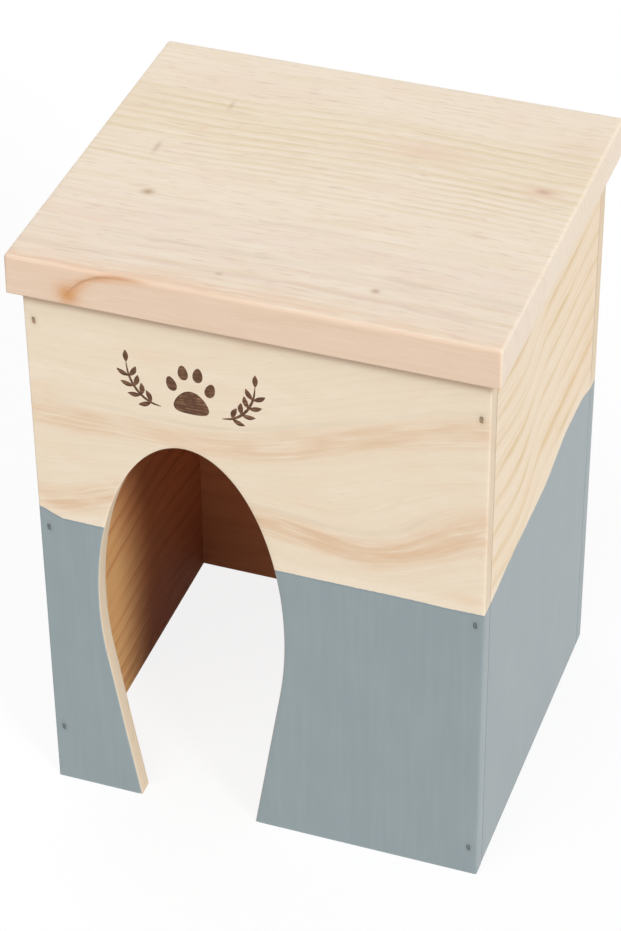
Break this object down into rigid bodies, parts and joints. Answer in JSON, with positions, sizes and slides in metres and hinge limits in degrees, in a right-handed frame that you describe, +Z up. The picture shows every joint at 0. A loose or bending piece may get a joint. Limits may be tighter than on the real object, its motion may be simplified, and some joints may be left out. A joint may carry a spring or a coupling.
{
  "type": "wooden pet house",
  "caption": "Tall open-bottomed wooden box house for a small pet, with an arched doorway left of centre in the front board and a flat overhanging roof that lifts off.",
  "frame": {"origin": "on the ground, under the centre of the roof board's outline", "axes": "+X to the right as seen from the front, +Y towards the back, +Z up; the doorway is in the front board, which faces -Y"},
  "size_m": [0.168, 0.146, 0.231],
  "materials": {
    "wall_pine": "planed, outside painted matt grey-blue below mid height",
    "roof_pine": "planed, bare",
    "nail_steel": "dull"
  },
  "bodies": {
    "house": {"front_wall": "wall_pine", "back_wall": "wall_pine", "left_wall": "wall_pine", "right_wall": "wall_pine", "front_nails_left": "nail_steel", "front_nails_right": "nail_steel", "back_nails_left": "nail_steel", "back_nails_right": "nail_steel"},
    "roof": {"roof_board": "roof_pine", "roof_batten_left": "roof_pine", "roof_batten_right": "roof_pine", "batten_nails_left": "nail_steel", "batten_nails_right": "nail_steel"}
  },
  "joints": [
    {"name": "roof_lift", "type": "slide", "parent": "house", "child": "roof", "axis": [0, 0, 1], "range_m": [0, 0.06]}
  ]
}
